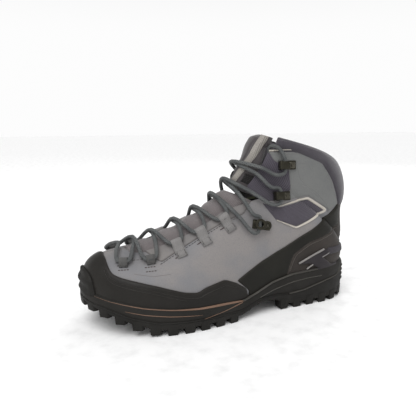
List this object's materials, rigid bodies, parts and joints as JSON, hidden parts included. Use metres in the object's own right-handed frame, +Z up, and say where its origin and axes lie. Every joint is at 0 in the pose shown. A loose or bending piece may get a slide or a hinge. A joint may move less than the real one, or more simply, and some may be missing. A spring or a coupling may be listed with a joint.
{
  "type": "hiking boot",
  "caption": "Ankle-high left hiking boot with a rubber rand, lugged sole, laced throat with webbing loops and metal hooks, padded tongue and collar.",
  "frame": {"origin": "on the ground under the middle of the boot's length and width", "axes": "+Z up, -X towards the toe, +X towards the heel, -Y on the lateral side, +Y on the medial side"},
  "size_m": [0.3041, 0.112, 0.1889],
  "materials": {
    "sole_rubber": "matt black rubber",
    "midsole_foam": "dark grey moulded foam with a brown pinstripe",
    "shank_nylon": "plain",
    "board_fibre": "needled fibreboard",
    "footbed_foam": "brushed textile over foam",
    "upper_textile": "coated woven textile, warm grey",
    "collar_textile": "soft woven textile, purple grey",
    "lining_textile": "knitted mesh, dark grey",
    "stiffener_resin": "plain",
    "ankle_foam": "open-cell foam",
    "rand_rubber": "smooth satin rubber, warm black",
    "heel_textile": "dense woven textile, brown grey",
    "cage_plastic": "satin moulded plastic with light bevels",
    "strap_webbing": "woven webbing",
    "tongue_textile": "padded textile",
    "strip_film": "light woven tape",
    "lace_cord": "braided polyester, mid grey",
    "pull_webbing": "black webbing",
    "trim_film": "beige welded film",
    "panel_film": "green grey welded film, embossed lines",
    "loop_webbing": "woven webbing, light grey",
    "hook_metal": "dark olive bronze lacquer",
    "rivet_metal": "dark bronze lacquer"
  },
  "bodies": {
    "boot": {"outsole": "sole_rubber", "shank": "shank_nylon", "midsole": "midsole_foam", "lasting_board": "board_fibre", "footbed": "footbed_foam", "upper": "upper_textile", "collar_pad": "collar_textile", "lining": "lining_textile", "toe_puff": "stiffener_resin", "heel_counter": "stiffener_resin", "ankle_foam": "ankle_foam", "rand": "rand_rubber", "heel_panel": "heel_textile", "heel_cage": "cage_plastic", "heel_strap": "strap_webbing", "tongue_lower": "upper_textile", "lace": "lace_cord", "side_band_lateral": "rand_rubber", "ankle_insert_lateral": "collar_textile", "ankle_trim_lateral": "trim_film", "ankle_panel_lateral": "panel_film", "toe_loop_lateral": "loop_webbing", "vamp_loop_lateral": "loop_webbing", "webbing_loop_1_lateral": "loop_webbing", "webbing_loop_2_lateral": "loop_webbing", "webbing_loop_3_lateral": "loop_webbing", "ankle_lock_lateral": "hook_metal", "ankle_lock_rivet_lateral": "rivet_metal", "lower_hook_lateral": "hook_metal", "lower_hook_rivet_lateral": "rivet_metal", "upper_hook_lateral": "hook_metal", "upper_hook_rivet_lateral": "rivet_metal", "side_band_medial": "rand_rubber", "ankle_insert_medial": "collar_textile", "ankle_trim_medial": "trim_film", "ankle_panel_medial": "panel_film", "toe_loop_medial": "loop_webbing", "vamp_loop_medial": "loop_webbing", "webbing_loop_1_medial": "loop_webbing", "webbing_loop_2_medial": "loop_webbing", "webbing_loop_3_medial": "loop_webbing", "ankle_lock_medial": "hook_metal", "ankle_lock_rivet_medial": "rivet_metal", "lower_hook_medial": "hook_metal", "lower_hook_rivet_medial": "rivet_metal", "upper_hook_medial": "hook_metal", "upper_hook_rivet_medial": "rivet_metal"},
    "tongue": {"tongue_upper": "tongue_textile", "tongue_strip": "strip_film"},
    "pull_loop": {"heel_pull_loop": "pull_webbing"}
  },
  "joints": [
    {"name": "tongue_fold", "type": "hinge", "parent": "boot", "child": "tongue", "pos_m": [0.012, 0, 0.118], "axis": [0, 1, 0], "range_deg": [0, 15], "stiffness_Nm_per_rad": 0.4},
    {"name": "pull_loop_lift", "type": "hinge", "parent": "boot", "child": "pull_loop", "pos_m": [0.1504, 0, 0.072], "axis": [0, -1, 0], "range_deg": [0, 90]}
  ]
}
